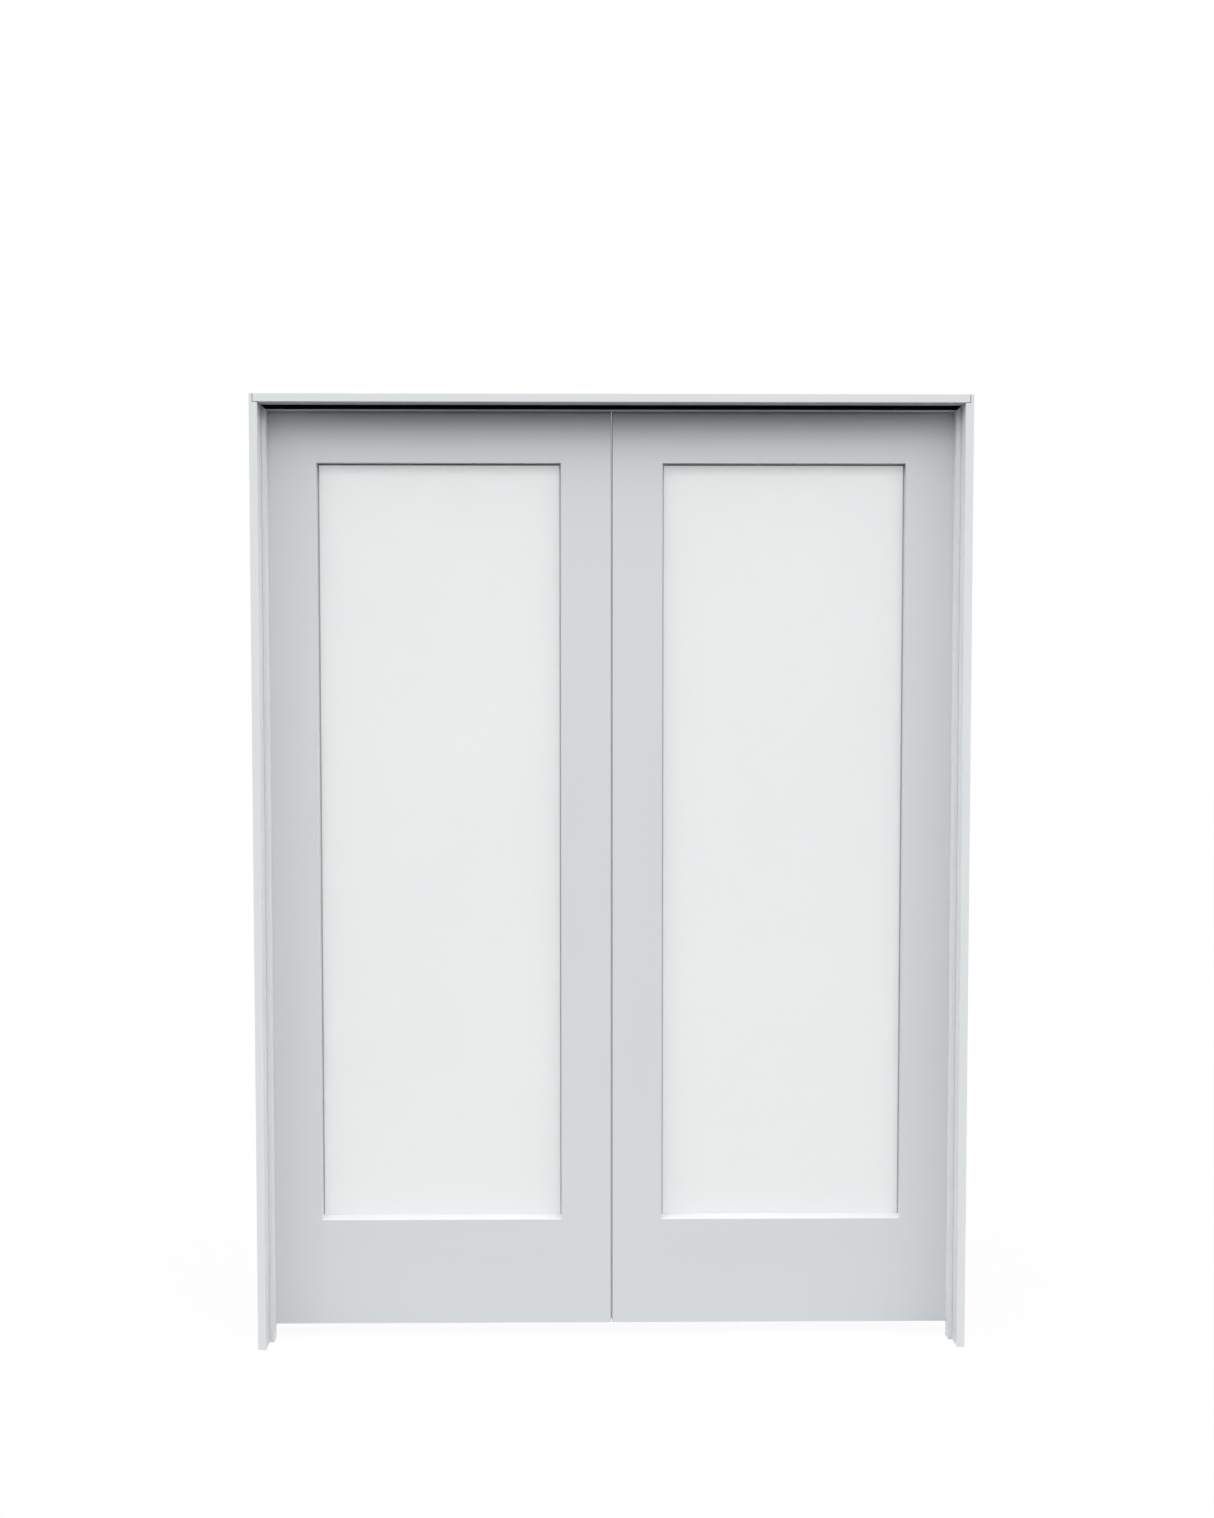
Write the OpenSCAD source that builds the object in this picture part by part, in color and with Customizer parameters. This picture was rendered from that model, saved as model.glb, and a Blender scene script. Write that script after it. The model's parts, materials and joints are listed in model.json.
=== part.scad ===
// French doors: a pair of glazed leaves hung in their jamb set, all in millimetres.
// X runs across the doorway, Y through the wall to the side the leaves swing to, Z up.
// The origin is on the floor, at the middle of the doorway and of the jamb depth.
// Each module draws the right-hand half, and the left-hand half is its mirror image.

/* [Leaves] */
// Width of one leaf, at its back face
leaf_w = 756.5; // [600:0.5:920]
// Height of one leaf
leaf_h = 2032; // [1800:1:2400]
// Thickness of a leaf
leaf_t = 35; // [33:0.5:45]
// Width of the stiles
stile_w = 111.5; // [90:0.5:150]
// Width of the top rail
top_rail_w = 119; // [90:1:200]
// Width of the bottom rail
bottom_rail_w = 235; // [120:1:320]
// Rounding of the long edges of leaves and jambs
arris_r = 1; // [0.4:0.1:2]
// Chamfer around the front of the glazed opening
sight_chamfer = 0.8; // [0.4:0.1:2]
// How far the meeting edge leans back at the front, so that the leaves pass each other
meeting_bevel = 1.6; // [0.5:0.1:2.5]

/* [Jambs and stops] */
// Thickness of the jambs
jamb_t = 17.5; // [16.5:0.5:32]
// Depth of the jambs through the wall
jamb_d = 116; // [105:1:170]
// How deep the side jambs are cut to house the head jamb
housing_d = 10; // [5:0.5:12]
// Depth of the fine V where the edges of the head jamb and a side jamb meet
joint_v = 1.5; // [0.3:0.1:2.5]
// Width of that V
joint_w = 0.9; // [0.4:0.1:2]
// Thickness of the stops
stop_t = 10; // [8:0.5:16]
// Width of the stops
stop_w = 32; // [25:1:40]
// Rounding of the stops' open edges
stop_r = 2; // [0.5:0.5:4]
// Easing of the stops' edges against the jambs
stop_base_r = 2; // [0.4:0.1:3]

/* [Clearances] */
// Gap between a leaf and the jambs, at its hinge edge and its top
leaf_gap = 3; // [2:0.5:4]
// Gap between the two leaves at their back faces
meeting_gap = 0.6; // [0.5:0.1:4]
// Gap between a leaf and the stops
stop_gap = 0.6; // [0.4:0.1:2]
// Gap under the leaves
floor_gap = 30; // [10:1:40]

/* [Glazing] */
// Thickness of the glass
glass_t = 5; // [4:0.5:6]
// How far the glass reaches behind the edge of the opening
glass_cover = 8; // [7:0.5:12]
// Room around the edges of the glass
glass_gap = 2; // [1:0.5:4]
// Thickness of the tape that the glass is bedded on
tape_t = 1; // [0.5:0.1:2]
// Width of the tape
tape_w = 6; // [4:0.5:7]
// Gap between the ends of neighbouring tapes
tape_gap = 0.4; // [0.2:0.1:1]
// How far the tape shows at the sides and the top of the opening
tape_show = 3; // [0.4:0.2:4]
// Rise of the bottom rail's ledge towards the glass, so that it sheds water
sill_rise = 5.5; // [1:0.5:8]
// Thickness of the beads that hold the glass
bead_t = 8; // [6:0.5:10]
// Rounding of the beads' open edge
bead_r = 2; // [0.5:0.5:4]
// Easing of the beads' edges against the leaf
bead_base_r = 1.2; // [0.2:0.1:2]
// Length of the blocks that the glass stands on
block_l = 80; // [40:5:120]

/* [Dowels] */
// Diameter of the dowels between stiles and rails
dowel_d = 12; // [8:1:14]
// Length of the dowels
dowel_l = 90; // [60:5:120]
// Dowels at each end of the top rail
top_dowels = 2; // [2:1:3]
// Dowels at each end of the bottom rail
bottom_dowels = 3; // [2:1:5]
// Room around a dowel in its hole
dowel_fit = 0.05; // [0.02:0.01:0.2]

/* [Hinges] */
// Height of a hinge
hinge_h = 89; // [76:1:102]
// Width of a hinge, laid open
hinge_w = 89; // [80:1:94]
// Thickness of the hinge leaves
hinge_t = 2.2; // [1.8:0.1:3]
// Rounding of the hinge corners
hinge_corner_r = 16; // [6:1:18]
// Distance from the back of the leaf to the middle of the pin
pin_out = 15.9; // [13:0.1:20]
// Diameter of the barrel
barrel_d = 12; // [10.5:0.5:14]
// Diameter of the pin
pin_d = 6; // [5:0.5:7]
// Height of the pin's button head
pin_head_h = 3.2; // [2.6:0.2:5]
// Rounding of the pin's button head
pin_head_r = 2.4; // [1:0.2:2.6]
// Room around the pin in the knuckles
pin_fit = 0.05; // [0.02:0.01:0.1]
// Gap between neighbouring knuckles
knuckle_gap = 0.3; // [0.2:0.1:0.6]
// Distance from the top of the leaf to the top hinge
hinge_from_top = 178; // [130:1:260]
// Distance from the bottom of the leaf to the bottom hinge
hinge_from_bottom = 280; // [180:1:320]

/* [Screws] */
// Diameter of the hinge screws
hinge_screw_d = 4.2; // [3:0.1:5]
// Length of the hinge screws
hinge_screw_l = 16; // [12:0.5:16]
// Diameter of the screws in catches and strikes
catch_screw_d = 3; // [2.5:0.1:4]
// Length of the screws in catches and strikes
catch_screw_l = 14; // [10:0.5:15]
// Diameter of the screws through the jamb corners
corner_screw_d = 4.5; // [3.5:0.1:5]
// Length of the screws through the jamb corners
corner_screw_l = 45; // [35:1:60]
// Screws through each jamb corner
corner_screw_count = 3; // [2:1:4]
// Room around a screw in its pilot hole
screw_fit = 0.05; // [0.02:0.01:0.2]

/* [Ball catches] */
// Length of the catch plate
catch_l = 54; // [46:1:64]
// Width of the catch plate
catch_w = 22; // [18:0.5:25]
// Thickness of the catch plate
catch_t = 1.8; // [1.2:0.1:2.4]
// Diameter of the catch body
catch_d = 16; // [15:0.5:20]
// Depth of the catch body
catch_depth = 32; // [28:1:45]
// Diameter of the ball
ball_d = 12; // [11:0.5:14]
// How far the ball reaches into the strike
ball_bite = 1.2; // [0.8:0.1:1.6]
// Room around the ball in its bore
ball_fit = 0.15; // [0.1:0.05:0.3]
// Diameter of the spring's wire
spring_wire = 1.2; // [0.8:0.1:1.6]
// Diameter of the spring, between the middles of its wire
spring_d = 8; // [6:0.5:9]
// Turns of the spring
spring_turns = 6; // [4:1:8]
// Length of the strike plate
strike_l = 60; // [48:1:70]
// Width of the strike plate
strike_w = 25; // [18:0.5:28]
// Thickness of the strike plate
strike_t = 1.6; // [1.2:0.1:2.4]
// Room around the ball in the strike
strike_fit = 0.4; // [0.2:0.1:1]
// Room around hinges, catches and strikes in their recesses
recess_fit = 0.2; // [0.1:0.1:0.5]

/* [Hidden] */
$fn = 48;
node = "all";

// Places across the doorway
leaf_in = meeting_gap / 2;
leaf_out = leaf_in + leaf_w;
jamb_in = leaf_out + leaf_gap;
jamb_out = jamb_in + jamb_t;
sight_in = leaf_in + stile_w;
sight_out = leaf_out - stile_w;
sight_w = sight_out - sight_in;

// Places through the wall
back_y = jamb_d / 2;
leaf_y = back_y - leaf_t;
stop_y = leaf_y - stop_gap - stop_w;

// Heights
leaf_top = floor_gap + leaf_h;
head_z = leaf_top + leaf_gap;
frame_h = head_z + jamb_t;
sight_low = floor_gap + bottom_rail_w;
sight_high = leaf_top - top_rail_w;
sight_h = sight_high - sight_low;

// Rebate that holds the tape, the glass and the beads, open at the back
rebate_w = glass_cover + glass_gap;
rebate_d = tape_t + glass_t + bead_t;
rebate_y = back_y - rebate_d;
glass_y = rebate_y + tape_t;
bead_y = glass_y + glass_t;

// Hinges
hinge_in_wood = hinge_w / 2 - pin_out;
pin_x = jamb_in - leaf_gap / 2;
pin_y = back_y + pin_out;
hinge_top_z = leaf_top - hinge_from_top - hinge_h / 2;
hinge_bottom_z = floor_gap + hinge_from_bottom + hinge_h / 2;
hinge_names = ["top", "middle", "bottom"];
hinge_heights = [hinge_top_z, (hinge_top_z + hinge_bottom_z) / 2, hinge_bottom_z];
knuckles = 5;
knuckle_h = (hinge_h - (knuckles - 1) * knuckle_gap) / knuckles;
frame_knuckles = [0, 2, 4];
door_knuckles = [1, 3];
// The three screws of a hinge leaf, as shares of the width in the wood and of half the height
hinge_screw_places = [[0.36, 0.66], [0.7, 0], [0.36, -0.66]];

// Ball catches
catch_x = leaf_in + stile_w / 2;
catch_y = leaf_y + leaf_t / 2;
catch_screw_x = (catch_l + catch_d) / 4;
ball_out = leaf_gap + ball_bite;
ball_z = leaf_top + ball_out - ball_d / 2;
bore_d = ball_d + 2 * ball_fit;
catch_floor = leaf_top - catch_depth + catch_t;
strike_hole_d = 2 * (sqrt(pow(ball_d / 2, 2) - pow(head_z - ball_z, 2)) + strike_fit);
strike_screw_x = (strike_l + strike_hole_d) / 4;
strike_pocket = ball_d / 2;
// The top turn of the spring touches the underside of the ball
spring_top = ball_z - sqrt(pow((ball_d + spring_wire) / 2, 2) - pow(spring_d / 2, 2)) - ball_fit;
spring_sides = 8;
spring_rings = 12;

// Screw heads are twice the shank's width, and a cross is sunk into them
head_ratio = 2;
head_depth_ratio = 0.55;
cross_ratio = 0.22;
tip_ratio = 0.15;

// Small overlap that keeps cuts clear of coincident faces
cut = 0.5;

sides = ["left", "right"];
half_nodes = [
    "jamb", "stop", "hinge_pins", "jamb_hinge_screws", "catch_strike",
    "hinge_stile", "meeting_stile", "top_rail", "bottom_rail", "rail_dowels",
    "glass", "glazing_tape", "setting_blocks",
    "top_bead", "bottom_bead", "hinge_side_bead", "meeting_side_bead",
    "door_hinge_screws", "catch_body", "catch_ball", "catch_spring", "catch_screws"
];
NODES = concat(
    ["head_jamb", "head_stop", "corner_screws", "strike_screws"],
    [for (side = sides) for (name = half_nodes) str(side, "_", name)],
    [for (side = sides) for (name = hinge_names) str(side, "_", name, "_hinge_frame_leaf")],
    [for (side = sides) for (name = hinge_names) str(side, "_", name, "_hinge_door_leaf")]
);

paint = [0.84, 0.85, 0.86];
nickel = [0.72, 0.7, 0.66];

function shown(name) = node == "all" || node == name;

// An outline whose corners are [x, y, reach]: a corner is rounded off over its reach by a curve.
function unit(v) = v / norm(v);
function flat(corner) = [corner[0], corner[1]];
function between(start, corner, end, s) =
    (1 - s) * (1 - s) * start + 2 * s * (1 - s) * corner + s * s * end;
function eased(corners, steps = 4) = [
    for (i = [0 : len(corners) - 1])
        let (here = flat(corners[i]), reach = corners[i][2])
        let (before = flat(corners[(i + len(corners) - 1) % len(corners)]))
        let (after = flat(corners[(i + 1) % len(corners)]))
        let (start = here + reach * unit(before - here), end = here + reach * unit(after - here))
        each reach == 0 ? [here] : [for (s = [0 : steps]) between(start, here, end, s / steps)]
];

function spread(low, high, count) = [for (i = [0 : count - 1]) low + (high - low) * (i + 0.5) / count];
function knuckle_z(k) = -hinge_h / 2 + knuckle_h / 2 + k * (knuckle_h + knuckle_gap);

// The left-hand half is the right-hand half seen in a mirror
module on_side(side) {
    if (side == "left") mirror([1, 0, 0]) children();
    else children();
}

module at_hinges() {
    for (z = hinge_heights) translate([pin_x, pin_y, z]) children();
}

module at_catch(z) {
    translate([catch_x, catch_y, z]) children();
}

// Extrudes an outline drawn in Y and Z along X
module along_x(length) {
    rotate([90, 0, 90]) linear_extrude(length) children();
}

// A flat plate with half-round ends
module round_ended(length, width, thick) {
    linear_extrude(thick) {
        square([length - width, width], center = true);
        for (end = [-1, 1]) translate([end * (length - width) / 2, 0]) circle(d = width);
    }
}

// A strip along X with its exposed edge at the top of Z, mitred at its far end and, if asked, its near end.
// The exposed corners are rounded over front_r and back_r, those against the wood over base_r.
module mitred_strip(length, thick, depth, front_r, back_r, base_r = 0, both_ends = true) {
    difference() {
        along_x(length)
            polygon(eased([[0, 0, base_r], [depth, 0, base_r], [depth, thick, back_r], [0, thick, front_r]]));
        if (both_ends) mitre_cut(thick, depth);
        translate([length, 0, 0]) mirror([1, 0, 0]) mitre_cut(thick, depth);
    }
}

module mitre_cut(thick, depth) {
    translate([0, depth + cut, 0]) rotate([90, 0, 0]) linear_extrude(depth + 2 * cut)
        polygon([[-cut, -cut], [thick + cut, thick + cut], [-cut, thick + cut]]);
}

// A countersunk screw that points down, with the top of its head at the origin
module screw_form(d, length, room = 0) {
    head_h = head_depth_ratio * d;
    tip_h = d;
    translate([0, 0, -head_h]) cylinder(d1 = d + 2 * room, d2 = head_ratio * d + 2 * room, h = head_h);
    translate([0, 0, tip_h - length]) cylinder(d = d + 2 * room, h = length - tip_h - head_h);
    translate([0, 0, -length]) cylinder(d1 = tip_ratio * d + 2 * room, d2 = d + 2 * room, h = tip_h);
}

module screw(d, length) {
    arm_w = cross_ratio * d;
    sunk = head_depth_ratio * d / 2;
    difference() {
        screw_form(d, length);
        for (turn = [0, 90]) rotate(turn) translate([0, 0, -sunk / 2 + cut / 2])
            cube([d, arm_w, sunk + cut], center = true);
    }
}

// Jamb set

module side_jamb() color(paint) difference() {
    linear_extrude(frame_h) polygon(eased([
        [jamb_in, -back_y, arris_r], [jamb_out, -back_y, 0], [jamb_out, back_y, 0], [jamb_in, back_y, arris_r]
    ]));
    translate([jamb_in - cut, -back_y - cut, head_z])
        cube([housing_d + cut, jamb_d + 2 * cut, jamb_t + cut]);
    joint_line();
    at_hinges() {
        hinge_recess();
        hinge_screw_spots() screw_form(hinge_screw_d, hinge_screw_l, screw_fit);
    }
    at_corner_screws() screw_form(corner_screw_d, corner_screw_l, screw_fit);
}

module head_jamb() color(paint) difference() {
    reach = jamb_in + housing_d;
    translate([-reach, 0, head_z]) along_x(2 * reach) polygon(eased([
        [-back_y, 0, arris_r], [back_y, 0, arris_r], [back_y, jamb_t, 0], [-back_y, jamb_t, 0]
    ]));
    for (side = sides) on_side(side) {
        joint_line();
        at_catch(head_z - cut) {
            round_ended(strike_l + 2 * recess_fit, strike_w + 2 * recess_fit, strike_t + cut);
            cylinder(d = strike_hole_d, h = strike_pocket + cut);
        }
        at_strike_screws() screw_form(catch_screw_d, catch_screw_l, screw_fit);
        at_corner_screws() screw_form(corner_screw_d, corner_screw_l, screw_fit);
    }
}

// The fine V along the joint of head jamb and side jamb, on their front and back edges
module joint_line() {
    for (y = [-back_y, back_y]) {
        translate([jamb_in + housing_d, y, head_z]) linear_extrude(jamb_t + cut) joint_outline();
        translate([jamb_in - cut, y, head_z]) along_x(housing_d + cut) rotate(90) joint_outline();
    }
}

module joint_outline() {
    polygon([[-joint_w / 2, 0], [0, -joint_v], [joint_w / 2, 0], [0, joint_v]]);
}

module at_corner_screws() {
    for (y = spread(-back_y, back_y, corner_screw_count))
        translate([jamb_out, y, head_z + jamb_t / 2]) rotate([0, 90, 0]) children();
}

module corner_screws() color(nickel) for (side = sides) on_side(side)
    at_corner_screws() screw(corner_screw_d, corner_screw_l);

module side_stop() color(paint) translate([jamb_in, stop_y, 0]) rotate([0, -90, 0])
    mitred_strip(head_z, stop_t, stop_w, stop_r, stop_r, stop_base_r, both_ends = false);

module head_stop() color(paint) translate([-jamb_in, stop_y + stop_w, head_z]) rotate([180, 0, 0])
    mitred_strip(2 * jamb_in, stop_t, stop_w, stop_r, stop_r, stop_base_r);

// Hinges, drawn about the pin at the middle of the hinge's height

// Outline of a hinge leaf: X runs from the pin to the far edge
module hinge_outline(room = 0) {
    far = hinge_w / 2 + room;
    half_h = hinge_h / 2 + room;
    corner = hinge_corner_r + room;
    translate([0, -half_h]) square([far - corner, 2 * half_h]);
    translate([0, corner - half_h]) square([far, 2 * (half_h - corner)]);
    for (end = [-1, 1]) translate([far - corner, end * (half_h - corner)]) circle(corner);
}

// Stands a shape drawn with hinge_outline on the jamb's face, let into the wood by its thickness
module let_in(thick) {
    translate([leaf_gap / 2, 0, 0]) rotate([0, 90, 0]) rotate([0, 0, -90]) linear_extrude(thick) children();
}

module hinge_recess() {
    translate([-cut, 0, 0]) let_in(hinge_t + cut) hinge_outline(recess_fit);
}

module hinge_screw_spots() {
    for (spot = hinge_screw_places)
        translate([leaf_gap / 2, -pin_out - spot[0] * hinge_in_wood, spot[1] * hinge_h / 2])
            rotate([0, -90, 0]) children();
}

// A hinge leaf on the jamb's side of the pin, with its own knuckles and room for the other leaf's
module hinge_leaf(own, others) color(nickel) difference() {
    union() {
        let_in(hinge_t) hinge_outline();
        for (k = own) translate([0, 0, knuckle_z(k)]) cylinder(d = barrel_d, h = knuckle_h, center = true);
    }
    cylinder(d = pin_d + 2 * pin_fit, h = hinge_h + 2 * cut, center = true);
    for (k = others) translate([0, 0, knuckle_z(k)])
        cylinder(d = barrel_d + 2 * knuckle_gap, h = knuckle_h + 2 * knuckle_gap, center = true);
    hinge_screw_spots() screw_form(hinge_screw_d, hinge_screw_l, screw_fit);
}

module hinge_frame_leaf() hinge_leaf(frame_knuckles, door_knuckles);

module hinge_door_leaf() mirror([1, 0, 0]) hinge_leaf(door_knuckles, frame_knuckles);

module hinge_pin() color(nickel) {
    half_h = hinge_h / 2;
    rotate_extrude() polygon(eased([
        [0, -half_h, 0], [pin_d / 2, -half_h, 0], [pin_d / 2, half_h, 0], [barrel_d / 2, half_h, 0],
        [barrel_d / 2, half_h + pin_head_h, pin_head_r], [0, half_h + pin_head_h, 0]
    ]));
}

module hinge_screws() color(nickel) hinge_screw_spots() screw(hinge_screw_d, hinge_screw_l);

// Leaves

// The front chamfer of the glazed opening, as one block to cut away
module sight_cut() {
    flare = sight_chamfer + cut;
    translate([0, leaf_y, 0]) intersection() {
        linear_extrude(leaf_top) polygon([
            [sight_in - flare, -cut], [sight_out + flare, -cut],
            [sight_out, sight_chamfer], [sight_in, sight_chamfer]
        ]);
        along_x(leaf_out) polygon([
            [-cut, sight_low - flare], [sight_chamfer, sight_low],
            [sight_chamfer, sight_high], [-cut, sight_high + flare]
        ]);
    }
}

// A stile from its outer edge at X 0 to the opening, with the rebate open at the back
module stile_bar(bevel) {
    lip = leaf_t - rebate_d;
    linear_extrude(leaf_h) polygon(eased([
        [bevel, 0, arris_r], [stile_w, 0, 0], [stile_w, lip, 0],
        [stile_w - rebate_w, lip, 0], [stile_w - rebate_w, leaf_t, 0], [0, leaf_t, arris_r]
    ]));
}

module hinge_stile() color(paint) difference() {
    translate([leaf_out, leaf_y, floor_gap]) mirror([1, 0, 0]) stile_bar(0);
    sight_cut();
    dowel_holes();
    at_hinges() mirror([1, 0, 0]) {
        hinge_recess();
        hinge_screw_spots() screw_form(hinge_screw_d, hinge_screw_l, screw_fit);
    }
}

module meeting_stile() color(paint) difference() {
    translate([leaf_in, leaf_y, floor_gap]) stile_bar(meeting_bevel);
    sight_cut();
    dowel_holes();
    at_catch(leaf_top - catch_t) round_ended(catch_l + 2 * recess_fit, catch_w + 2 * recess_fit, catch_t + cut);
    at_catch(leaf_top - catch_depth) cylinder(d = catch_d + 2 * recess_fit, h = catch_depth);
    at_catch_screws() screw_form(catch_screw_d, catch_screw_l, screw_fit);
}

// A rail between the stiles: its back half reaches on into the stiles' rebates
module rail_bar(low, high, low_back, high_back) {
    translate([sight_in, leaf_y, low]) cube([sight_w, leaf_t - rebate_d, high - low]);
    translate([sight_in - rebate_w, rebate_y, low_back])
        cube([sight_w + 2 * rebate_w, rebate_d, high_back - low_back]);
}

module top_rail() color(paint) difference() {
    rail_bar(sight_high, leaf_top, sight_high + rebate_w, leaf_top);
    sight_cut();
    dowel_holes();
}

module bottom_rail() color(paint) difference() {
    union() {
        rail_bar(floor_gap, sight_low, floor_gap, sight_low - rebate_w);
        sill_slope();
    }
    sight_cut();
    dowel_holes();
}

// The slope on top of the bottom rail, in front of the glass
module sill_slope() {
    lip = leaf_t - rebate_d;
    translate([sight_in, leaf_y, sight_low]) along_x(sight_w) polygon([
        [sight_chamfer, 0], [sight_chamfer, -cut], [lip, -cut], [lip, sill_rise]
    ]);
}

module at_dowels() {
    heights = concat(
        spread(sight_high + rebate_w, leaf_top - catch_depth, top_dowels),
        spread(floor_gap, sight_low - rebate_w, bottom_dowels)
    );
    for (x = [sight_in, sight_out], z = heights)
        translate([x, leaf_y + leaf_t / 2, z]) rotate([0, 90, 0]) children();
}

module dowel_holes() {
    at_dowels() cylinder(d = dowel_d + 2 * dowel_fit, h = dowel_l + 2 * cut, center = true);
}

module rail_dowels() color("burlywood") at_dowels() cylinder(d = dowel_d, h = dowel_l, center = true);

// Glazing

module glass() color([0.92, 0.93, 0.93]) translate([sight_in - glass_cover, glass_y, sight_low - glass_cover])
    cube([sight_w + 2 * glass_cover, glass_t, sight_h + 2 * glass_cover]);

module glazing_tape() color("dimgray") {
    wide = sight_w + 2 * glass_cover;
    seen_w = glass_cover + tape_show;
    side_low = sight_low - glass_cover + tape_w + tape_gap;
    side_high = sight_high - tape_show - tape_gap;
    translate([sight_in - glass_cover, rebate_y, sight_low - glass_cover]) cube([wide, tape_t, tape_w]);
    translate([sight_in - glass_cover, rebate_y, sight_high - tape_show]) cube([wide, tape_t, seen_w]);
    for (x = [sight_in - glass_cover, sight_out - tape_show])
        translate([x, rebate_y, side_low]) cube([seen_w, tape_t, side_high - side_low]);
}

module setting_blocks() color("black") for (x = spread(sight_in, sight_out, 2))
    translate([x - block_l / 2, glass_y, sight_low - rebate_w]) cube([block_l, glass_t, glass_gap]);

module bottom_bead() color(paint) translate([sight_in - rebate_w, bead_y, sight_low - rebate_w])
    mitred_strip(sight_w + 2 * rebate_w, rebate_w, bead_t, 0, bead_r, bead_base_r);

module top_bead() color(paint) translate([sight_in - rebate_w, back_y, sight_high + rebate_w])
    rotate([180, 0, 0]) mitred_strip(sight_w + 2 * rebate_w, rebate_w, bead_t, bead_r, 0, bead_base_r);

module hinge_side_bead() color(paint) translate([sight_out + rebate_w, bead_y, sight_low - rebate_w])
    rotate([0, -90, 0]) mitred_strip(sight_h + 2 * rebate_w, rebate_w, bead_t, 0, bead_r, bead_base_r);

module meeting_side_bead() color(paint) translate([sight_in - rebate_w, bead_y, sight_high + rebate_w])
    rotate([0, 90, 0]) mitred_strip(sight_h + 2 * rebate_w, rebate_w, bead_t, 0, bead_r, bead_base_r);

// Ball catches

module at_catch_screws() {
    at_catch(leaf_top) for (end = [-1, 1]) translate([end * catch_screw_x, 0, 0]) children();
}

module at_strike_screws() {
    at_catch(head_z) for (end = [-1, 1])
        translate([end * strike_screw_x, 0, 0]) rotate([180, 0, 0]) children();
}

module catch_body() color(nickel) difference() {
    union() {
        at_catch(leaf_top - catch_t) round_ended(catch_l, catch_w, catch_t);
        at_catch(leaf_top - catch_depth) cylinder(d = catch_d, h = catch_depth);
    }
    at_catch(ball_z) sphere(d = bore_d);
    at_catch(catch_floor) cylinder(d = bore_d, h = ball_z - catch_floor);
    at_catch_screws() screw_form(catch_screw_d, catch_screw_l, screw_fit);
}

module catch_ball() color("silver") at_catch(ball_z) sphere(d = ball_d);

// Wire wound in a helix that stands on the floor of the bore
module catch_spring() color("silver") {
    rings = spring_turns * spring_rings;
    low = catch_floor + spring_wire / 2;
    points = [
        for (i = [0 : rings]) for (j = [0 : spring_sides - 1])
            let (turn = 360 * i / spring_rings, roll = 360 * j / spring_sides)
            let (r = (spring_d + spring_wire * cos(roll)) / 2)
            [r * cos(turn), r * sin(turn), low + (spring_top - low) * i / rings + spring_wire / 2 * sin(roll)]
    ];
    walls = [
        for (i = [0 : rings - 1]) for (j = [0 : spring_sides - 1])
            let (next = (j + 1) % spring_sides)
            [i * spring_sides + j, i * spring_sides + next,
                (i + 1) * spring_sides + next, (i + 1) * spring_sides + j]
    ];
    ends = [
        [for (j = [spring_sides - 1 : -1 : 0]) j],
        [for (j = [0 : spring_sides - 1]) rings * spring_sides + j]
    ];
    at_catch(0) polyhedron(points, concat(walls, ends));
}

module catch_screws() color(nickel) at_catch_screws() screw(catch_screw_d, catch_screw_l);

module catch_strike() color(nickel) difference() {
    at_catch(head_z) round_ended(strike_l, strike_w, strike_t);
    at_catch(head_z - cut) cylinder(d = strike_hole_d, h = strike_t + 2 * cut);
    at_strike_screws() screw_form(catch_screw_d, catch_screw_l, screw_fit);
}

module strike_screws() color(nickel) for (side = sides) on_side(side)
    at_strike_screws() screw(catch_screw_d, catch_screw_l);

// Drawing

if (shown("head_jamb")) head_jamb();
if (shown("head_stop")) head_stop();
if (shown("corner_screws")) corner_screws();
if (shown("strike_screws")) strike_screws();
for (side = sides) on_side(side) {
    if (shown(str(side, "_jamb"))) side_jamb();
    if (shown(str(side, "_stop"))) side_stop();
    if (shown(str(side, "_hinge_pins"))) at_hinges() hinge_pin();
    if (shown(str(side, "_jamb_hinge_screws"))) at_hinges() hinge_screws();
    if (shown(str(side, "_catch_strike"))) catch_strike();
    if (shown(str(side, "_hinge_stile"))) hinge_stile();
    if (shown(str(side, "_meeting_stile"))) meeting_stile();
    if (shown(str(side, "_top_rail"))) top_rail();
    if (shown(str(side, "_bottom_rail"))) bottom_rail();
    if (shown(str(side, "_rail_dowels"))) rail_dowels();
    if (shown(str(side, "_glass"))) glass();
    if (shown(str(side, "_glazing_tape"))) glazing_tape();
    if (shown(str(side, "_setting_blocks"))) setting_blocks();
    if (shown(str(side, "_top_bead"))) top_bead();
    if (shown(str(side, "_bottom_bead"))) bottom_bead();
    if (shown(str(side, "_hinge_side_bead"))) hinge_side_bead();
    if (shown(str(side, "_meeting_side_bead"))) meeting_side_bead();
    if (shown(str(side, "_door_hinge_screws"))) at_hinges() mirror([1, 0, 0]) hinge_screws();
    if (shown(str(side, "_catch_body"))) catch_body();
    if (shown(str(side, "_catch_ball"))) catch_ball();
    if (shown(str(side, "_catch_spring"))) catch_spring();
    if (shown(str(side, "_catch_screws"))) catch_screws();
    for (i = [0 : len(hinge_names) - 1]) translate([pin_x, pin_y, hinge_heights[i]]) {
        if (shown(str(side, "_", hinge_names[i], "_hinge_frame_leaf"))) hinge_frame_leaf();
        if (shown(str(side, "_", hinge_names[i], "_hinge_door_leaf"))) hinge_door_leaf();
    }
}
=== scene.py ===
# %% [markdown]
# French doors, dressed for the camera.
# The real thing is a pair of glazed leaves that hang in their jamb set, primed white, with satin glass.
# Its shapes are already exact in the frame that is loaded here: every jamb, stop, stile, rail and hinge.
# So this lesson is about the other half of the work: the light, the camera, and finishes that are true to
# paint, etched glass, plated metal, beech, foam and rubber when somebody looks closely.

# %% Load the frame
import json
import math

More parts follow.
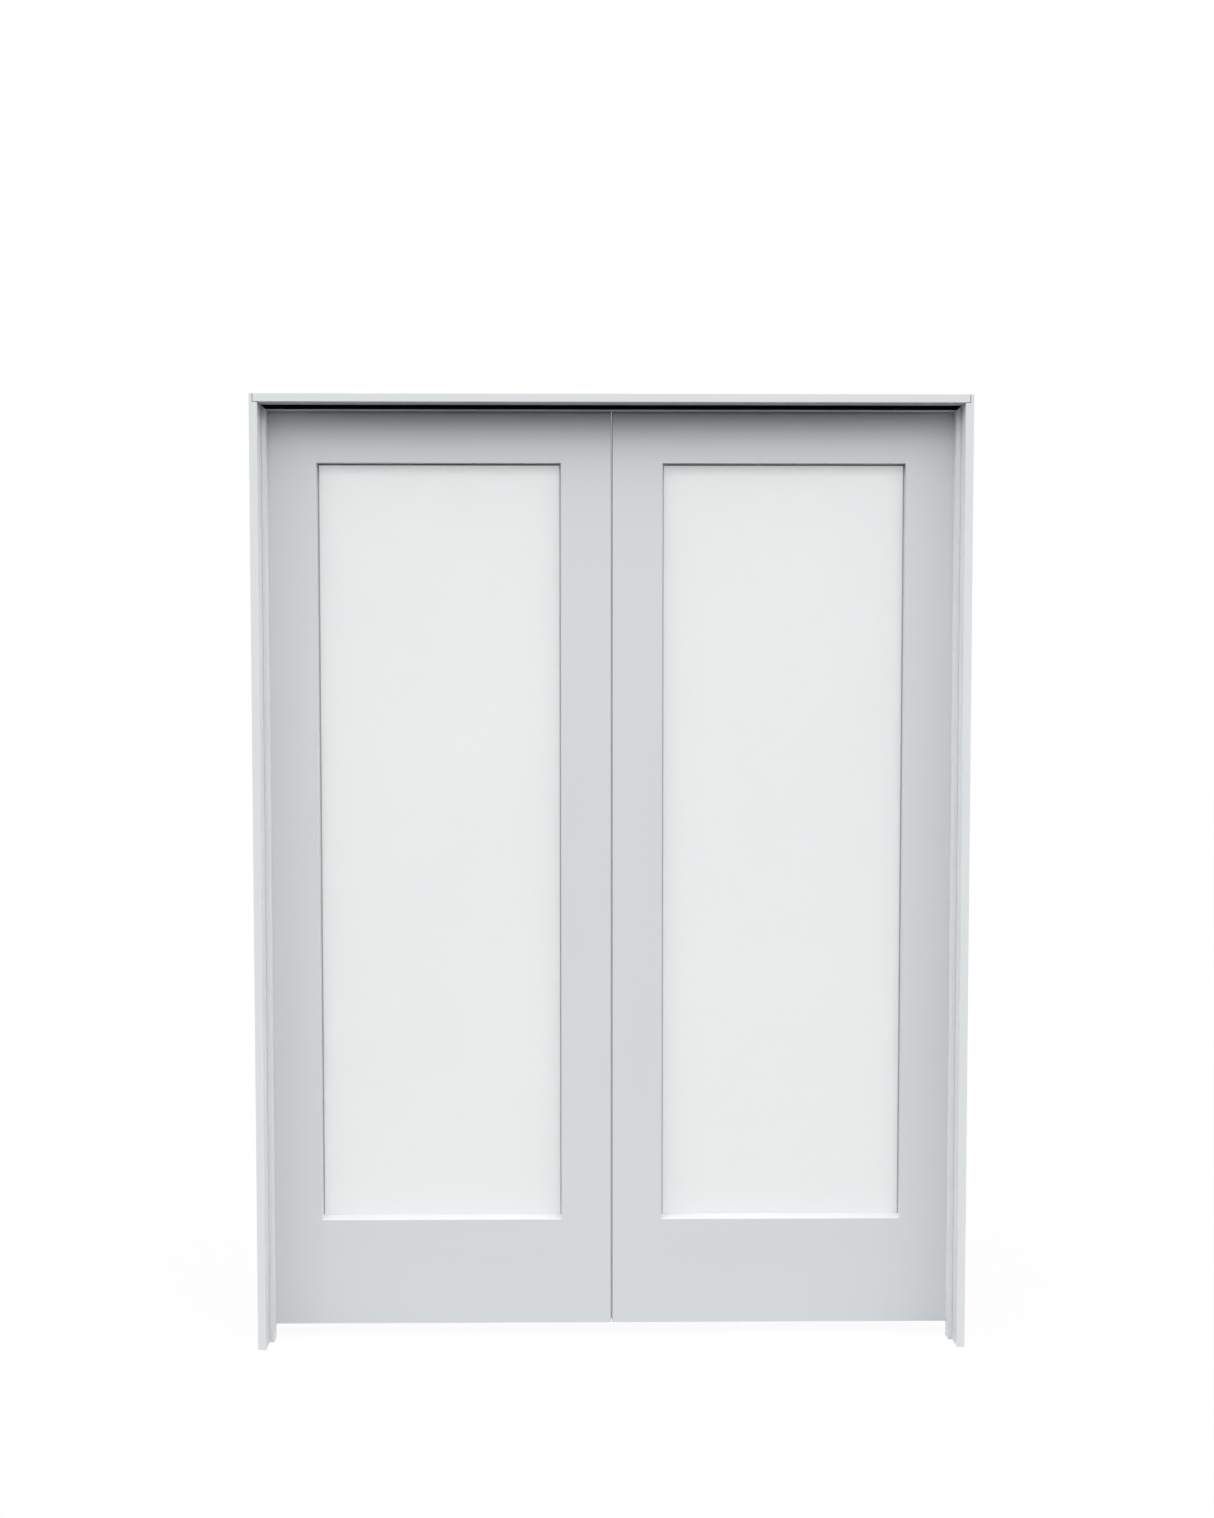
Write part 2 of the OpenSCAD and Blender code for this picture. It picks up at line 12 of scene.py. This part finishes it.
import bmesh
import bpy
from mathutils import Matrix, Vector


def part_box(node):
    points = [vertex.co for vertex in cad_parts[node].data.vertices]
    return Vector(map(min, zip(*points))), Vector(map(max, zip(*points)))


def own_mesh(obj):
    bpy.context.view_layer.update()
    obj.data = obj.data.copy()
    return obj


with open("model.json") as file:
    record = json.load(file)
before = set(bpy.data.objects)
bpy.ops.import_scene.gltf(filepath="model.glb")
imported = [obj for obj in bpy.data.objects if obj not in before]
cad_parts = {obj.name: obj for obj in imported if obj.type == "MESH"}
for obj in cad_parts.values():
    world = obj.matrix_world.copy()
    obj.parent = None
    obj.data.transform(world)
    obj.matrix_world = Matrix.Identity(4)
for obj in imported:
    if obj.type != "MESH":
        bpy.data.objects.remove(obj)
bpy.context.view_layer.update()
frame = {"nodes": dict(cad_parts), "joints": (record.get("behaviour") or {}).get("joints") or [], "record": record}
nodes = frame["nodes"]

# %% [markdown]
# The camera stands where the photographer stood.
# Its place and lens were found from the straight edges of the jambs, stops and panes, whose sizes are known.
# A photograph of a door is mostly parallel lines, so a small error in the lens shows as leaning jambs.
# It looks slightly down and to the right, and it isn't tilted to either side.

# %% Camera
CAMERA_PLACE = (-0.0591, -4.1201, 1.5186)
LOOKS_DOWN_RAD = 0.0539
LOOKS_RIGHT_RAD = 0.0118
SENSOR_MM = 36.0
FOCAL_PX = 1880.26
FRAME_PX = 1518
LENS_MM = FOCAL_PX / FRAME_PX * SENSOR_MM
SIGHT_M = 200.0

eye = bpy.data.cameras.new("doorway_view")
eye.sensor_width = SENSOR_MM
eye.lens = LENS_MM
eye.clip_end = SIGHT_M
camera = bpy.data.objects.new("doorway_view", eye)
camera.location = CAMERA_PLACE
camera.rotation_euler = (math.pi / 2 - LOOKS_DOWN_RAD, 0.0, -LOOKS_RIGHT_RAD)
bpy.context.scene.collection.objects.link(camera)
bpy.context.scene.camera = camera
print("camera lens", round(LENS_MM, 2), "mm")

# %% [markdown]
# A few small helpers save a lot of typing when node trees are built in code.
# The first adds a node, sets the values of its inputs by name or number, and joins any input that is given a
# socket. The others are the sums that come back all the time: a product, a ramp, a soft step, a mix.
# The rest of the lesson then reads like a recipe: which node, fed with what.

# %% Node helpers
WHITE = (1, 1, 1, 1)


def add(tree, kind, inputs=None, **settings):
    made = tree.nodes.new(kind)
    for name, value in settings.items():
        setattr(made, name, value)
    for key, value in (inputs or {}).items():
        if isinstance(value, bpy.types.NodeSocket):
            tree.links.new(value, made.inputs[key])
        else:
            made.inputs[key].default_value = value
    return made


def math_node(tree, operation, a, b=0.0):
    return add(tree, "ShaderNodeMath", {0: a, 1: b}, operation=operation).outputs[0]


def product(tree, first, *factors):
    for factor in factors:
        first = math_node(tree, "MULTIPLY", first, factor)
    return first


def ramp(tree, value, base, gain):
    return math_node(tree, "ADD", product(tree, value, gain), base)


def smooth_step(tree, value, low, high, bottom=0.0, top=1.0):
    inputs = {"Value": value, "From Min": low, "From Max": high, "To Min": bottom, "To Max": top}
    return add(tree, "ShaderNodeMapRange", inputs, interpolation_type="SMOOTHSTEP").outputs["Result"]


def mix_colour(tree, factor, first, second):
    inputs = {"Factor": factor, 6: first, 7: second}
    return add(tree, "ShaderNodeMix", inputs, data_type="RGBA").outputs[2]


def mix_shader(tree, factor, first, second):
    inputs = {0: factor, 1: first.outputs[0], 2: second.outputs[0]}
    return add(tree, "ShaderNodeMixShader", inputs)


print("node helpers ready")

# %% [markdown]
# Light Path tells a shader what kind of ray is asking, so a surface can look one way and light another way.
# The camera, and anything that shines or lets light through, is to see a plain white studio.
# Everything else is to be lit by softer and less even light. This helper asks for one kind of ray or more.

# %% Who is looking
SHINE = ("Is Glossy Ray", "Is Transmission Ray")


def seen_by(tree, first, *others):
    path = add(tree, "ShaderNodeLightPath").outputs
    seen = path[first]
    for ray in others:
        seen = math_node(tree, "MAXIMUM", seen, path[ray])
    return seen


print("white is seen by the camera and by", SHINE)

# %% [markdown]
# The light is one big soft dome, like a studio with a white ceiling and white side walls.
# Most of it comes from above and from the sides in front, which is why the top of the leaves darkens softly
# under the head jamb, and why the head stop lies in deep shadow.
# The ceiling is dimmer straight overhead, so that edges that face up stay below pure white.
# A low panel at the back lights the paint on the other side of the doors. It is there for diffuse rays alone,
# because rough glass lets a lamp that stands behind it burn through as a white blot.
# Heights and depths here are parts of the direction of a ray, from 0 at the middle to 1 straight up or back.

# %% Dome light
DOME_STRENGTH = 2.56
SIDE_BASE = 0.45
SIDE_GAIN = 0.95
LOW_GAIN = 0.15
HIGH_GAIN = 2.25
FRONT_FADE = 0.3
HORIZON_FADE = 0.03
OVERHEAD_FROM = 0.55
OVERHEAD_KEEPS = 0.12
REAR_PANEL = 4.4
PANEL_SIDES = (0.2, 0.6)
PANEL_FOOT = (0.02, 0.12)
PANEL_TOP = (0.13, 0.24)

studio = bpy.data.worlds.new("soft_studio")
studio.use_nodes = True
sky = studio.node_tree
sky.nodes.clear()
direction = add(sky, "ShaderNodeTexCoord").outputs["Generated"]
across, depth, height = add(sky, "ShaderNodeSeparateXYZ", {0: direction}).outputs

dome = product(
    sky,
    ramp(sky, math_node(sky, "ABSOLUTE", across), SIDE_BASE, SIDE_GAIN),
    ramp(sky, height, LOW_GAIN, HIGH_GAIN),
    smooth_step(sky, depth, -FRONT_FADE, FRONT_FADE, 1.0, 0.0),
    smooth_step(sky, height, 0.0, HORIZON_FADE),
    smooth_step(sky, height, OVERHEAD_FROM, 1.0, 1.0, OVERHEAD_KEEPS),
)
panel = product(
    sky,
    smooth_step(sky, depth, *PANEL_SIDES, 0.0, REAR_PANEL),
    smooth_step(sky, height, *PANEL_FOOT),
    smooth_step(sky, height, *PANEL_TOP, 1.0, 0.0),
    seen_by(sky, "Is Diffuse Ray"),
)
glow = product(sky, math_node(sky, "ADD", dome, panel), DOME_STRENGTH)
lit = add(sky, "ShaderNodeBackground", {"Color": WHITE, "Strength": glow})
plain = add(sky, "ShaderNodeBackground", {"Color": WHITE, "Strength": 1.0})
shown = mix_shader(sky, seen_by(sky, "Is Camera Ray", *SHINE), lit, plain)
add(sky, "ShaderNodeOutputWorld", {"Surface": shown.outputs[0]})
bpy.context.scene.world = studio
bpy.context.scene.view_settings.view_transform = "Standard"
print("dome of strength", DOME_STRENGTH)

# %% [markdown]
# The doors stand on a plain pale floor, and a grid with one face is enough for it.
# To the camera it is nearly white, and it takes the soft shadow of the feet. Metal and glass see it as plain
# white, like the background. It throws only a little light back up, because a studio floor lies mostly in the
# dark under the dome, and although part of it glows it is never sampled as a lamp.

# %% Floor
FLOOR_HALF_M = 40.0
FLOOR_SEEN = (0.9, 0.9, 0.9, 1)
FLOOR_WHITE = 0.93
FLOOR_BOUNCE = (0.03, 0.03, 0.03, 1)

form = bmesh.new()
bmesh.ops.create_grid(form, x_segments=1, y_segments=1, size=FLOOR_HALF_M)
floor_mesh = bpy.data.meshes.new("studio_floor")
form.to_mesh(floor_mesh)
form.free()
floor = bpy.data.objects.new("studio_floor", floor_mesh)
bpy.context.scene.collection.objects.link(floor)

floor_paint = bpy.data.materials.new("studio_floor")
floor_paint.use_nodes = True
tree = floor_paint.node_tree
tree.nodes.clear()
bounce = add(tree, "ShaderNodeBsdfDiffuse", {"Color": FLOOR_BOUNCE})
shaded = add(tree, "ShaderNodeBsdfDiffuse", {"Color": FLOOR_SEEN})
white = add(tree, "ShaderNodeEmission", {"Color": WHITE, "Strength": 1.0})
pale = mix_shader(tree, FLOOR_WHITE, shaded, white)
shown = mix_shader(tree, seen_by(tree, "Is Camera Ray"), bounce, pale)
shown = mix_shader(tree, seen_by(tree, *SHINE), shown, white)
add(tree, "ShaderNodeOutputMaterial", {"Surface": shown.outputs[0]})
floor_paint.cycles.emission_sampling = "NONE"
floor_mesh.materials.append(floor_paint)
print("floor", 2 * FLOOR_HALF_M, "m across")

# %% [markdown]
# Every finish starts in the same way: a new material with a Principled shader and Object coordinates.
# Object coordinates are in metres here, because each piece sits at the origin with its place in its mesh,
# so a texture scale of 500 means about five hundred grains in a metre.
# A Mapping node stretches the coordinates where a finish has a direction.

# %% Material helpers
EVEN = (1, 1, 1)


def new_finish(name, stretch=EVEN, **values):
    made = bpy.data.materials.new(name)
    made.use_nodes = True
    tree = made.node_tree
    tree.nodes.clear()
    shader = add(tree, "ShaderNodeBsdfPrincipled")
    for socket, value in values.items():
        shader.inputs[socket.replace("_", " ")].default_value = value
    add(tree, "ShaderNodeOutputMaterial", {"Surface": shader.outputs[0]})
    place = add(tree, "ShaderNodeTexCoord").outputs["Object"]
    mapped = add(tree, "ShaderNodeMapping", {"Vector": place, "Scale": stretch}).outputs[0]
    return made, tree, shader, mapped


def new_group(name, inputs, outputs):
    made = bpy.data.node_groups.new(name, "ShaderNodeTree")
    for label, kind, value in inputs:
        socket = made.interface.new_socket(name=label, in_out="INPUT", socket_type=kind)
        if value is not None:
            socket.default_value = value
    for label, kind in outputs:
        made.interface.new_socket(name=label, in_out="OUTPUT", socket_type=kind)
    source = made.nodes.new("NodeGroupInput").outputs
    sink = made.nodes.new("NodeGroupOutput").inputs
    return made, source, sink


def roughen(tree, shader, height, bump_m):
    bump = add(tree, "ShaderNodeBump", {"Height": height, "Distance": bump_m})
    tree.links.new(bump.outputs[0], shader.inputs["Normal"])


print("material helpers ready")

# %% [markdown]
# One group of nodes makes the skin of a finish, and each finish places it with its own values.
# It has three layers: a slow drift of tone over hand-wide patches, a mottle that makes some spots glossier
# than others, and a fine grain that lifts the surface a little.
# Building it once keeps the materials short and makes them age in the same way.

# %% Surface skin
SKIN_INPUTS = (
    ("Vector", "NodeSocketVector", None),
    ("Colour", "NodeSocketColor", (0.8, 0.8, 0.8, 1)),
    ("Shade", "NodeSocketColor", (0.7, 0.7, 0.7, 1)),
    ("Patch scale", "NodeSocketFloat", 4.0),
    ("Mottle scale", "NodeSocketFloat", 60.0),
    ("Grain scale", "NodeSocketFloat", 900.0),
    ("Smoothest", "NodeSocketFloat", 0.4),
    ("Roughest", "NodeSocketFloat", 0.5),
    ("Grain tone", "NodeSocketFloat", 0.1),
)
SKIN_OUTPUTS = (
    ("Colour", "NodeSocketColor"),
    ("Roughness", "NodeSocketFloat"),
    ("Height", "NodeSocketFloat"),
)
PATCH_DETAIL = 3.0
PATCH_ROUGH = 0.5
GRAIN_DETAIL = 2.0
GRAIN_ROUGH = 0.6
PATCH_SHARE = 0.6
NOISE_LOW = 0.3
NOISE_HIGH = 0.7


def noise(tree, vector, scale, detail, rough):
    inputs = {"Vector": vector, "Scale": scale, "Detail": detail, "Roughness": rough}
    return add(tree, "ShaderNodeTexNoise", inputs).outputs["Fac"]


skin, given, result = new_group("surface_skin", SKIN_INPUTS, SKIN_OUTPUTS)
patch = noise(skin, given["Vector"], given["Patch scale"], PATCH_DETAIL, PATCH_ROUGH)
mottle = noise(skin, given["Vector"], given["Mottle scale"], PATCH_DETAIL, PATCH_ROUGH)
grain = noise(skin, given["Vector"], given["Grain scale"], GRAIN_DETAIL, GRAIN_ROUGH)
slow = product(skin, smooth_step(skin, patch, NOISE_LOW, NOISE_HIGH), PATCH_SHARE)
fine = product(skin, grain, given["Grain tone"])
tone = mix_colour(skin, math_node(skin, "ADD", slow, fine), given["Colour"], given["Shade"])
spread = {
    "Value": mottle, "From Min": NOISE_LOW, "From Max": NOISE_HIGH,
    "To Min": given["Smoothest"], "To Max": given["Roughest"],
}
gloss = add(skin, "ShaderNodeMapRange", spread).outputs["Result"]
for made, label in ((tone, "Colour"), (gloss, "Roughness"), (grain, "Height")):
    skin.links.new(made, result[label])
print("group", skin.name, "with", len(skin.nodes), "nodes")

# %% [markdown]
# To wear the skin, a finish places the group, hands it its own colours and scales, and joins its outputs:
# the colour and the roughness go straight to the shader, and the height goes there through a bump.
# The bump is given in metres, so it can be thought of as the real depth of the grain.

# %% Wear the skin
def wear_skin(tree, shader, vector, bump_m, **values):
    worn = add(tree, "ShaderNodeGroup", node_tree=skin)
    tree.links.new(vector, worn.inputs["Vector"])
    for label, value in values.items():
        worn.inputs[label.replace("_", " ")].default_value = value
    tree.links.new(worn.outputs["Colour"], shader.inputs["Base Color"])
    tree.links.new(worn.outputs["Roughness"], shader.inputs["Roughness"])
    roughen(tree, shader, worn.outputs["Height"], bump_m)


print("skin can be worn")

# %% [markdown]
# The jambs, stops, stiles, rails and beads are sprayed with white primer, which dries to a soft satin.
# Close up, sprayed primer has the skin of an orange, with drops a millimetre or so across, and because it is
# rubbed down along the wood between coats it keeps a faint direction.
# So upright pieces and level pieces get the same paint with the skin stretched along the piece.
# There are two tones, and they are painted light: the jamb set is whiter, for the light that falls on it out in
# front, and the leaves are darker, for the shade they sit in behind it.

# %% Primer
# Painted light: the leaves take a darker copy of the primer and the jamb set a lighter one.
SHADED_LEAF_WHITE = (0.705, 0.727, 0.74, 1)
LEAF_SHADE = (0.678, 0.7, 0.714, 1)
LIT_JAMB_WHITE = (0.765, 0.785, 0.798, 1)
JAMB_SHADE = (0.738, 0.76, 0.774, 1)
RUBBED = 0.3
UPRIGHT = (1, 1, RUBBED)
LEVEL = (RUBBED, 1, 1)
ORANGE_PEEL_M = 0.00006
SATIN_SHINE = 0.2
SATIN_ROUGH = (0.42, 0.56)


def primer(name, stretch, colour, shade, shine=SATIN_SHINE, rough=SATIN_ROUGH):
    made, tree, shader, place = new_finish(name, stretch, Specular_IOR_Level=shine)
    wear_skin(
        tree, shader, place, ORANGE_PEEL_M,
        Colour=colour, Shade=shade, Patch_scale=3.0, Mottle_scale=45.0, Grain_scale=800.0,
        Smoothest=rough[0], Roughest=rough[1], Grain_tone=0.25,
    )
    return made


leaf_primer = []
jamb_primer = []
for way, stretch in (("upright", UPRIGHT), ("level", LEVEL)):
    leaf_primer.append(primer(f"leaf_primer_{way}", stretch, SHADED_LEAF_WHITE, LEAF_SHADE))
    jamb_primer.append(primer(f"jamb_primer_{way}", stretch, LIT_JAMB_WHITE, JAMB_SHADE))
print("primer", [paint.name for paint in leaf_primer + jamb_primer])

# %% [markdown]
# Two places on the jamb set are painted darker than their primer through a mask: one is wholly painted shade, the
# other a dark joint with painted shade in it.
# The mask goes between the skin's colour and the shader, so the gloss and the grain below stay as they are.

# %% Paint over
def paint_over(finish, mask, colour):
    tree = finish.node_tree
    target = tree.nodes["Principled BSDF"].inputs["Base Color"]
    below = target.links[0].from_socket
    tree.links.new(mix_colour(tree, mask, below, colour), target)


print("ready to paint over")

# %% [markdown]
# The head jamb is let into the side jambs, and the joint shows as a hairline around each end of it.
# The wood already has a fine groove there, and it is painted dark inside: partly the bare joint that paint never
# fills, partly painted shade for the shadow deep in the groove. The box of the head jamb tells where it runs: up
# past each end, and back along the underside.
# Object coordinates are in metres, so the mask is simply a distance from those two planes.

# %% Joint lines, with painted shade
JOINT_SHADE_TONE = (0.16, 0.165, 0.17, 1)
JOINT_CORE_M = 0.0005
JOINT_EDGE_M = 0.0009

head_low, head_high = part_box("head_jamb")
jamb_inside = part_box("right_jamb")[0].x


def near_plane(tree, value, plane):
    away = math_node(tree, "ABSOLUTE", math_node(tree, "SUBTRACT", value, plane))
    return smooth_step(tree, away, JOINT_CORE_M, JOINT_EDGE_M, 1.0, 0.0)


def beyond(tree, value, plane):
    return smooth_step(tree, value, plane - JOINT_EDGE_M, plane)


for finish in jamb_primer:
    tree = finish.node_tree
    place = add(tree, "ShaderNodeTexCoord").outputs["Object"]
    split = add(tree, "ShaderNodeSeparateXYZ", {0: place}).outputs
    aside = math_node(tree, "ABSOLUTE", split["X"])
    height = split["Z"]
    let_in = math_node(tree, "LESS_THAN", aside, head_high.x)
    end = product(tree, near_plane(tree, aside, head_high.x), beyond(tree, height, head_low.z))
    under = product(tree, near_plane(tree, height, head_low.z), beyond(tree, aside, jamb_inside), let_in)
    # The dark joint is deepened with painted shade inside the groove.
    paint_over(finish, math_node(tree, "MAXIMUM", end, under), JOINT_SHADE_TONE)
print("joint lines at", round(1000 * head_high.x, 1), "mm aside and", round(1000 * head_low.z, 1), "mm up")

# %% [markdown]
# One face is different: the front of the head stop is painted black from mitre to mitre.
# The black is painted shade: it stands for the deep shadow under the head jamb, darker than anything around it.
# The paint is the same primer, duller, and the painted shade goes on wherever the surface looks straight out of
# the doorway. The direction of the surface is the mask, so the painted shade follows the rounded edge of the stop.

# %% Painted shade on the head stop
SHADOW_BLACK = (0.006, 0.006, 0.006, 1)
DULL_SHINE = 0.02
DULL_ROUGH = (0.5, 0.6)
SHADED_FACING = (-0.5, -0.3)

# Painted shade: the front of the head stop is coloured black to stand for the shadow that falls on it.
painted_shadow = primer("painted_shadow_stop", LEVEL, LIT_JAMB_WHITE, JAMB_SHADE, DULL_SHINE, DULL_ROUGH)
tree = painted_shadow.node_tree
facing = add(tree, "ShaderNodeNewGeometry").outputs["True Normal"]
outward = add(tree, "ShaderNodeSeparateXYZ", {0: facing}).outputs["Y"]
paint_over(painted_shadow, smooth_step(tree, outward, *SHADED_FACING, 1.0, 0.0), SHADOW_BLACK)
print("painted_shadow", painted_shadow.name)

# %% [markdown]
# The panes are satin glass: one face is etched with acid until it is covered with tiny crystals of light.
# It lets the brightness behind it through but no shapes, and it also scatters back some light from in front.
# A Principled shader with two thirds of its transmission and a rough surface does both at once.
# The etch is never quite even, so the skin group adds faint clouds and a very fine grain.

# %% Satin glass
GLASS = (0.924, 0.936, 0.94, 1)
GLASS_CLOUD = (0.908, 0.921, 0.926, 1)
ETCH_M = 0.00004

satin_glass, tree, shader, place = new_finish("satin_glass", IOR=1.5, Transmission_Weight=0.66)
wear_skin(
    tree, shader, place, ETCH_M,
    Colour=GLASS, Shade=GLASS_CLOUD, Patch_scale=2.0, Mottle_scale=25.0, Grain_scale=2500.0,
    Smoothest=0.36, Roughest=0.44, Grain_tone=0.2,
)
print("glass", satin_glass.name)

# %% [markdown]
# Hinges, catches and strikes are plated with satin nickel.
# The metal is brushed before it is plated, which leaves fine lines along each piece, so the grain is
# stretched far along the hinge's height, or along the plates of the catches.
# The two kinds of steel and the polished ball use the same skin without a direction and with another gloss.

# %% Metals
BRUSHED = 0.03
BRUSHED_UP = (1, 1, BRUSHED)
BRUSHED_ALONG = (BRUSHED, 1, 1)
BRUSH_M = 0.00002
DRAWN_M = 0.00001
POLISH_M = 0.000002
FINE_GRAIN = 1500.0
PLATED_GRAIN = 600.0
NICKEL = ((0.6, 0.58, 0.54, 1), (0.5, 0.48, 0.445, 1))
ZINC = ((0.58, 0.585, 0.6, 1), (0.47, 0.475, 0.49, 1))
WIRE = ((0.5, 0.5, 0.5, 1), (0.4, 0.4, 0.4, 1))
CHROME = ((0.75, 0.75, 0.76, 1), (0.7, 0.7, 0.71, 1))


def metal(name, tones, stretch, rough, bump_m, grain_scale=FINE_GRAIN):
    made, tree, shader, place = new_finish(name, stretch, Metallic=1.0)
    wear_skin(
        tree, shader, place, bump_m,
        Colour=tones[0], Shade=tones[1], Patch_scale=40.0, Mottle_scale=150.0, Grain_scale=grain_scale,
        Smoothest=rough[0], Roughest=rough[1], Grain_tone=0.5,
    )
    return made


upright_nickel = metal("nickel_upright", NICKEL, BRUSHED_UP, (0.26, 0.4), BRUSH_M)
level_nickel = metal("nickel_level", NICKEL, BRUSHED_ALONG, (0.26, 0.4), BRUSH_M)
zinc = metal("zinc_plate", ZINC, EVEN, (0.3, 0.5), BRUSH_M, PLATED_GRAIN)
wire = metal("spring_wire", WIRE, EVEN, (0.25, 0.38), DRAWN_M)
chrome = metal("ball_chrome", CHROME, EVEN, (0.05, 0.12), POLISH_M)
print("metals", [made.name for made in (upright_nickel, level_nickel, zinc, wire, chrome)])

# %% [markdown]
# The dowels are raw beech: pale brown, with short dark flecks along the grain.
# Stretching the skin along the dowel turns its grain into those flecks.

# %% Beech
BEECH = (0.66, 0.47, 0.27, 1)
BEECH_FLECK = (0.5, 0.32, 0.165, 1)
FLECKS_ALONG = (0.06, 1, 1)
FLECK_M = 0.00008

beech, tree, shader, place = new_finish("raw_beech", FLECKS_ALONG)
wear_skin(
    tree, shader, place, FLECK_M,
    Colour=BEECH, Shade=BEECH_FLECK, Patch_scale=120.0, Mottle_scale=300.0, Grain_scale=900.0,
    Smoothest=0.6, Roughest=0.75, Grain_tone=0.6,
)
print("beech", beech.name)

# %% [markdown]
# The glass lies on grey closed-cell foam tape and stands on black rubber blocks, and both show tiny cells.
# A Voronoi pattern gives the cells their walls: its distance is smallest in the middle of a cell.

# %% Foam and rubber
FOAM = ((0.36, 0.365, 0.37, 1), (0.46, 0.465, 0.47, 1))
RUBBER = ((0.03, 0.03, 0.03, 1), (0.055, 0.055, 0.055, 1))
FOAM_CELLS = 2500.0
RUBBER_CELLS = 1500.0
FOAM_CELL_M = 0.0001
RUBBER_CELL_M = 0.00006
CELL_WALL = (0.25, 0.75)


def cellular(name, tones, cells, bump_m, rough):
    made, tree, shader, place = new_finish(name, Roughness=rough)
    cell = add(tree, "ShaderNodeTexVoronoi", {"Vector": place, "Scale": cells}).outputs["Distance"]
    ridge = smooth_step(tree, cell, *CELL_WALL)
    tree.links.new(mix_colour(tree, ridge, *tones), shader.inputs["Base Color"])
    roughen(tree, shader, ridge, bump_m)
    return made


foam = cellular("foam_tape", FOAM, FOAM_CELLS, FOAM_CELL_M, 0.8)
rubber = cellular("setting_rubber", RUBBER, RUBBER_CELLS, RUBBER_CELL_M, 0.65)
print("soft beds", foam.name, "and", rubber.name)

# %% [markdown]
# Last comes the dressing. The record says which finish each piece takes, so one table does most of the work.
# Paint and nickel need one more question, because they have a direction: is the piece long across the doorway
# or upright? Its box answers that. The jamb set then takes its lighter tone of painted light, and the head stop
# its painted shade.

# %% Dress the pieces
FINISHES = {
    "painted_wood": leaf_primer,
    "satin_glass": (satin_glass, satin_glass),
    "satin_nickel": (upright_nickel, level_nickel),
    "screw_steel": (zinc, zinc),
    "spring_steel": (wire, wire),
    "ball_chrome": (chrome, chrome),
    "dowel_wood": (beech, beech),
    "foam_tape": (foam, foam),
    "block_rubber": (rubber, rubber),
}
dressed = 0
for part in frame["record"]["subparts"]:
    piece = nodes[part["node"]]
    low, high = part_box(part["node"])
    level = high.x - low.x > high.z - low.z
    finish = FINISHES[part["material_slot"]][int(level)]
    # The jamb set takes the lighter copy of the primer, which is painted light.
    if part["node"].endswith(("jamb", "stop")):
        finish = jamb_primer[int(level)]
    # The head stop takes the primer with painted shade on its front.
    if part["node"] == "head_stop":
        finish = painted_shadow
    piece.data.materials.clear()
    piece.data.materials.append(finish)
    dressed += 1
print("dressed", dressed, "pieces")

# %% [markdown]
# Each catch's ball rests on a coil spring that is hidden in the top edge of the leaf. When the ball is
# pressed down the spring has to get shorter, or the ball would cut into its coils. Here each spring only gets a
# mesh of its own, and its box is read.

# %% Springs get meshes of their own
for joint in frame["joints"]:
    if joint["type"] == "slide":
        spring = joint["name"].replace("ball_press", "catch_spring")
        low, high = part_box(spring)
        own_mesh(nodes[spring])
